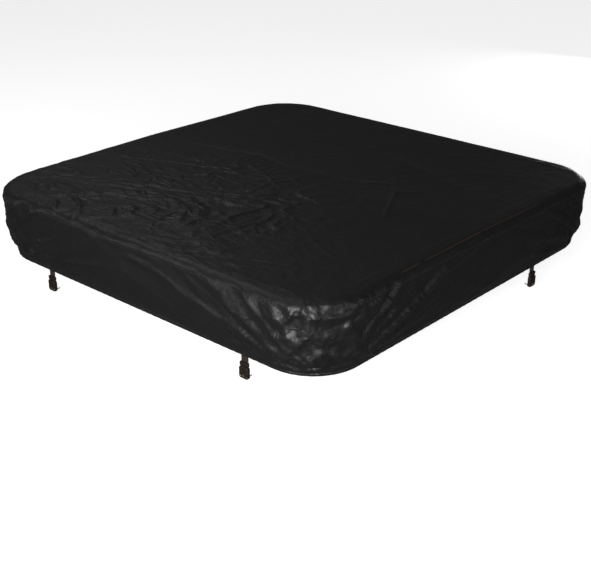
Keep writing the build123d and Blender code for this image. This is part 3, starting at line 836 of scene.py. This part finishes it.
for piece in (cap, hem):
    fold_rows(piece)
    keep_slack(piece)
CAP_NODES = ("cap_rear_top", "cap_front_top", "cap_rear_skirt", "cap_front_skirt")
HEM_NODES = ("cap_rear_hem", "cap_front_hem", "cap_rear_hem_cord", "cap_front_hem_cord")
finish_piece(cap, CAP_CLOTH, "cap_fabric", *CAP_NODES)
finish_piece(hem, CAP_CLOTH, "hem_fabric", *HEM_NODES)
finish_piece(seam_thread, THREAD, "cap_fabric")
for piece in (cap, hem, seam_thread):
    bend_at_fold(piece)


# ---- Hard lid ----
def lid_half(word, side):
    """Vinyl jacket of one half: crowned top, walls that dip between seams, and hinge wall."""
    lo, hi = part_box(f"{word}_jacket")
    half, ridge = hi.x, hi.z
    corner = half - LID_FLAT
    near = min(abs(lo.y), abs(hi.y))
    round_off = 0.006
    profile = []
    count = 44
    for i in range(count + 1):
        reach = (half - round_off) * i / count
        profile.append((reach, (corner - round_off) * (i / count) ** 1.5, ridge, 1.2))
    profile.append((half, corner, ridge - round_off, 1.2))
    for f in (0.12, 0.3, 0.5, 0.7, 0.88, 1.0):
        profile.append((half, corner, (ridge - round_off) * (1 - f), 1.2 * (1 - f)))
    profile.append((half - 0.009, corner - 0.009, 0.0, 0.0))
    obj, _ = shell(profile, f"{word}_lid_jacket")
    build = bmesh.new()
    build.from_mesh(obj.data)
    bmesh.ops.bisect_plane(
        build, geom=build.verts[:] + build.edges[:] + build.faces[:], plane_co=(0, side * near, 0),
        plane_no=(0, side, 0), clear_inner=True,
    )
    build.to_mesh(obj.data)
    build.free()
    # the hinge wall, with a light pucker along the zip
    columns, rows = 160, 10
    verts = []
    for i in range(columns + 1):
        x = -half + 2 * half * i / columns
        for j in range(rows + 1):
            f = j / rows
            z = 0.001 + (ridge - 0.002) * f
            dip = 0.0012 * math.sin(math.pi * f) * noise.noise(Vector((x * 14, z * 30, side)))
            verts.append((x, side * (near + 0.0006 + abs(dip)), z))
    wall = mesh_object("wall", verts, sheet_faces(columns, rows, flip=True))
    bpy.ops.object.select_all(action="DESELECT")
    wall.select_set(True)
    obj.select_set(True)
    bpy.context.view_layer.objects.active = obj
    bpy.ops.object.join()
    obj.data.polygons.foreach_set("use_smooth", [True] * len(obj.data.polygons))
    co, no = coords(obj), normals(obj)
    y, z = co[:, 1], co[:, 2]
    top = smooth_step(ridge - 0.02, ridge - 0.012, z)
    body = (np.abs(y) > near + 0.01).astype(float)
    wave = field(co, 5.0, 9.0, 2)
    out = body * (top * 0.0010 * wave - (1 - top) * 0.0016 * np.abs(field(co, 11.0, 6.0, 2)))
    set_coords(obj, co + no * out[:, None])
    finish_piece(obj, LID_VINYL, "lid_vinyl", f"{word}_jacket", body=f"lid_{word}")


def flap_sheets(word, side):
    """Hanging vinyl flaps with a wavy foot, split at the same slits as the panels behind."""
    lo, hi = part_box(f"{word}_flaps")
    half = hi.x - 0.00075
    corner = half - LID_FLAT
    near, drop, slit = 0.008, hi.z - lo.z, 0.001
    flat = half - corner
    arc = corner * math.pi / 2
    pieces = [
        (near, flat - slit, "side", 1), (0, arc, "corner", 1),
        (-flat + slit, flat - slit, "back", 0),
        (0, arc, "corner", -1), (near, flat - slit, "side", -1),
    ]
    verts, faces = [], []
    rows = 8
    for low, high, kind, hand in pieces:
        columns = max(10, int((high - low) / 0.012))
        start = len(verts)
        for i in range(columns + 1):
            s = low + (high - low) * i / columns
            if kind == "side":
                x, y, nx, ny = hand * half, side * s, hand, 0
            elif kind == "back":
                x, y, nx, ny = s, side * half, 0, side
            else:
                a = s / corner
                nx, ny = hand * math.cos(a), side * math.sin(a)
                x, y = hand * flat + corner * nx, side * flat + corner * ny
            for j in range(rows + 1):
                f = j / rows
                lean = 0.0035 * f * noise.noise(Vector((x * 6, y * 6, f))) - 0.0005
                verts.append((x + nx * lean, y + ny * lean, -drop * f))
        faces += sheet_faces(columns, rows, start)
    obj = mesh_object(f"{word}_lid_flaps", verts, faces)
    thicken(obj, FLAP_THICK, 0)
    finish_piece(obj, LID_VINYL, "lid_vinyl", f"{word}_flaps", body=f"lid_{word}")


for word, side in HALVES.items():
    lid_half(word, side)
    flap_sheets(word, side)


def ribbon(name, path, width, thick, across, segments=8):
    """Flat band along a path of points: across is the direction of its width. Edges are rounded."""
    points = [Vector(p) for p in path]
    across = Vector(across).normalized()
    verts, section = [], []
    for j in range(segments + 1):
        u = -1 + 2 * j / segments
        section.append((u, 0.5 * (1 - abs(u) ** 8) + 0.06))
    ring = [(u, v) for u, v in section] + [(u, -v) for u, v in reversed(section)]
    for i, p in enumerate(points):
        ahead = points[min(i + 1, len(points) - 1)] - points[max(i - 1, 0)]
        face = across.cross(ahead).normalized()
        for u, v in ring:
            verts.append(p + across * (u * width / 2) + face * (v * thick * 0.9))
    count = len(ring)
    faces = tube_faces(len(points) - 1, count)
    faces.append(tuple(reversed(range(count))))
    faces.append(tuple((len(points) - 1) * count + j for j in range(count)))
    return mesh_object(name, verts, faces)


def along(points, step):
    """Points every step along a polyline."""
    made = []
    for a, b in zip(points, points[1:]):
        a, b = Vector(a), Vector(b)
        count = max(1, int((b - a).length / step))
        made += [a + (b - a) * (i / count) for i in range(count)]
    return made + [Vector(points[-1])]


# Strip over the fold
strip_lo, strip_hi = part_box("hinge_strip")
columns, rows = 240, 24
verts = []
for i in range(columns + 1):
    x = strip_lo.x + (strip_hi.x - strip_lo.x) * i / columns
    for j in range(rows + 1):
        y = strip_hi.y + (strip_lo.y - strip_hi.y) * j / rows
        fall = (strip_hi.z - 0.0015 - strip_lo.z) * abs(y) / strip_hi.y
        z = strip_hi.z - 0.0006 - fall + 0.0003 * noise.noise(Vector((x * 20, y * 60, 2)))
        verts.append((x, y, z))
strip = mesh_object("lid_fold_strip", verts, sheet_faces(columns, rows))
thicken(strip, LID_THICK, -1)
fold_rows(strip)
finish_piece(strip, LID_VINYL, "lid_vinyl", "hinge_strip")
bend_at_fold(strip)

# Soft seal in the fold
seal_lo, seal_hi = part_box("heat_seal")
centre = (seal_lo + seal_hi) / 2
columns, section = 200, 20
verts = []
for i in range(columns + 1):
    x = seal_lo.x + (seal_hi.x - seal_lo.x) * i / columns
    for j in range(section):
        a = 2 * math.pi * j / section
        c, s = math.cos(a), math.sin(a)
        soft = 1 - 0.05 * (1 + noise.noise(Vector((x * 16, a, 3))))
        wide = (seal_hi.y - seal_lo.y) / 2 * signed_power(c, 0.55) * soft
        tall = (seal_hi.z - seal_lo.z) / 2 * signed_power(s, 0.55) * soft
        verts.append((x, centre.y + wide, centre.z + tall))
faces = tube_faces(columns, section, flip=True)
faces.append(tuple(range(section)))
faces.append(tuple(columns * section + j for j in reversed(range(section))))
seal = mesh_object("fold_heat_seal", verts, faces)
finish_piece(seal, LID_VINYL, "seal_vinyl", "heat_seal", body="lid_rear")

# Carry handles
for word, hand in (("left", -1), ("right", 1)):
    lo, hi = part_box(f"{word}_handle")
    wall = min(abs(lo.x), abs(hi.x))
    crest = max(abs(lo.x), abs(hi.x)) - 0.002
    path = []
    for i in range(61):
        f = i / 60
        y = lo.y + (hi.y - lo.y) * f
        lift = smooth_step(0.15, 0.30, f) * smooth_step(0.85, 0.70, f)
        x = hand * (wall + 0.0011 + (crest - wall - 0.0005) * float(lift))
        path.append((x, y, (lo.z + hi.z) / 2))
    handle = ribbon(f"{word}_carry_handle", path, hi.z - lo.z, 0.0018, (0, 0, 1))
    finish_piece(handle, WEBBING, "webbing", f"{word}_handle", body="lid_front")


# ---- Tie-down straps ----
STRAP_OUT = 0.0298  # how far a strap hangs out over the flaps, from the wall it ends against
STRAP_HALF = 0.00225  # half the thickness of the CAD webbing


def strap_piece(station):
    """One length of webbing from under the lid's edge to the clip."""
    lo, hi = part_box(f"{station}_strap")
    centre = (lo + hi) / 2
    joint = JOINTS[f"{station}_swing"]
    lid, strap = joint["parent"], joint["child"]
    turn = Vector(joint["axis"])
    out = turn.cross(Vector((0, 0, 1)))
    out = out if out.dot(Vector((centre.x, centre.y, 0))) > 0 else -out
    wide = Vector((abs(turn.x), abs(turn.y), 0))
    wall = abs(centre.dot(out)) - STRAP_HALF
    sideways = centre - out * centre.dot(out)
    sideways.z = 0
    corners = [
        (STRAP_OUT, -0.001), (STRAP_OUT, -0.1), (STRAP_HALF, -0.208), (STRAP_HALF, lo.z + 0.001),
    ]
    path = along([sideways + out * (wall + s) + Vector((0, 0, z)) for s, z in corners], 0.0022)
    size = (hi - lo).dot(wide)
    depth = (hi - lo).dot(Vector((abs(out.x), abs(out.y), 0)))
    band = ribbon(f"{station}_webbing", path, size, depth * 0.92, wide, 10)
    anchors = "front_strap_anchors" if lid == "lid_front" else "rear_strap_anchors"
    finish_piece(band, WEBBING, "webbing", f"{station}_strap", anchors)
    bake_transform(band)


for name in JOINTS:
    if name.endswith("_swing"):
        strap_piece(name.removesuffix("_swing"))

# Spring of the cord lock, built at one length; the real one shortens as the plunger goes in
lo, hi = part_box("cord_lock_spring")
centre = (lo + hi) / 2
wire = 0.0004
coil = (hi.z - lo.z) / 2 - wire
length = hi.x - lo.x
turns, steps, section = 4, 120, 8
verts = []
for i in range(steps + 1):
    a = 2 * math.pi * turns * i / steps
    x = lo.x + wire + (length - 2 * wire) * i / steps
    for j in range(section):
        b = 2 * math.pi * j / section
        reach = coil + wire * math.cos(b)
        y, z = centre.y + reach * math.cos(a), centre.z + reach * math.sin(a)
        verts.append((x + wire * math.sin(b), y, z))
faces = tube_faces(steps, section)
faces.append(tuple(reversed(range(section))))
faces.append(tuple(steps * section + j for j in range(section)))
spring = mesh_object("cord_lock_coil", verts, faces)
paint(spring, SPRING)
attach(spring, "cap_rear")
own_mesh(spring)
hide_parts("cord_lock_spring")

# ---- Finishes of the pieces that keep their CAD shape ----
FINISH = {
    "_clip": BUCKLE, "_keeper": BUCKLE, "_screws": ZINC, "_lock": BRASS, "_piping": LID_VINYL_CAD,
    "_foam_core": FOAM, "_edge_channel": STEEL, "_vapour_film": FILM, "_bottom_liner": LINER,
    "_zipper": ZIP_TAPE, "_zip_slider": BLACK_PLASTIC, "_hem_cord": WEBBING_CAD,
    "cord_lock_body": BLACK_PLASTIC, "cord_lock_plunger": BLACK_PLASTIC, "cord_tails": WEBBING_CAD,
}
for name, obj in frame["nodes"].items():
    for ending, material in FINISH.items():
        if name.endswith(ending):
            paint(obj, material)

# ---- Floor, light and camera ----
# the floor and the backdrop are pale to the camera only, and dark in what they reflect
FLOOR = -0.352
FLOOR_DARK, FLOOR_PALE, FLOOR_GLOW = 0.10, 0.62, 0.80
SKY_DARK, SKY_PALE = 0.05, 1.0
bpy.ops.mesh.primitive_plane_add(size=60, location=(0, 0, FLOOR))
floor = bpy.context.object
floor.name = "floor"
floor_mat, floor_tree, floor_bsdf = new_material("floor")
floor_bsdf.inputs["Roughness"].default_value = 0.9
eye = node(floor_tree, "ShaderNodeLightPath").outputs["Is Camera Ray"]
tone = mix_colours(floor_tree, eye, (FLOOR_DARK,) * 3, (FLOOR_PALE,) * 3)
floor_tree.links.new(tone, floor_bsdf.inputs["Base Color"])
glow = node(floor_tree, "ShaderNodeMath", operation="MULTIPLY")
glow.inputs[1].default_value = FLOOR_GLOW
floor_tree.links.new(eye, glow.inputs[0])
floor_tree.links.new(glow.outputs[0], floor_bsdf.inputs["Emission Strength"])
floor_bsdf.inputs["Emission Color"].default_value = (1, 1, 1, 1)
paint(floor, floor_mat)

world = bpy.context.scene.world or bpy.data.worlds.new("studio")
bpy.context.scene.world = world
world.use_nodes = True
sky = world.node_tree
back = sky.nodes["Background"]
back.inputs["Color"].default_value = (1, 1, 1, 1)
seen = sky.nodes.new("ShaderNodeLightPath")
level = sky.nodes.new("ShaderNodeMapRange")
level.inputs["To Min"].default_value = SKY_DARK
level.inputs["To Max"].default_value = SKY_PALE
sky.links.new(seen.outputs["Is Camera Ray"], level.inputs["Value"])
sky.links.new(level.outputs["Result"], back.inputs["Strength"])


def soft_light(name, place, aim, size, power):
    data = bpy.data.lights.new(name, "AREA")
    data.size = size
    data.energy = power
    obj = bpy.data.objects.new(name, data)
    bpy.context.scene.collection.objects.link(obj)
    obj.location = place
    obj.rotation_euler = (Vector(aim) - Vector(place)).to_track_quat("-Z", "Y").to_euler()


# name, place, aim, size in metres and power in watts
for light in (
    ("near", (2.6, -4.5, 1.2), (0.8, -0.8, -0.1), 2.8, 430),
    ("left", (-2.8, -4.4, 1.3), (0.0, -1.0, 0.0), 0.9, 26),
    ("right", (4.6, 0.2, 0.7), (1.0, -0.4, -0.1), 1.1, 18),
    ("rear", (-0.6, 4.9, -0.05), (-0.2, 0.9, -0.15), 0.55, 26),
    ("behind", (-3.0, 0.7, 3.4), (-0.5, -0.7, 0), 1.5, 13),
    ("over", (-1.4, -1.2, 3.8), (-0.1, -0.5, 0), 2.8, 18),
):
    soft_light(*light)

bpy.context.scene.view_settings.view_transform = "Standard"
camera_data = bpy.data.cameras.new("camera")
camera_data.sensor_width = 36
camera_data.lens = 66.62
camera = bpy.data.objects.new("camera", camera_data)
bpy.context.scene.collection.objects.link(camera)
camera.location = (3.1389, -3.5082, 1.7117)
aim = Vector((-0.1564, 0.1625, -0.5906))
camera.rotation_euler = (aim - camera.location).to_track_quat("-Z", "Y").to_euler()
bpy.context.scene.camera = camera
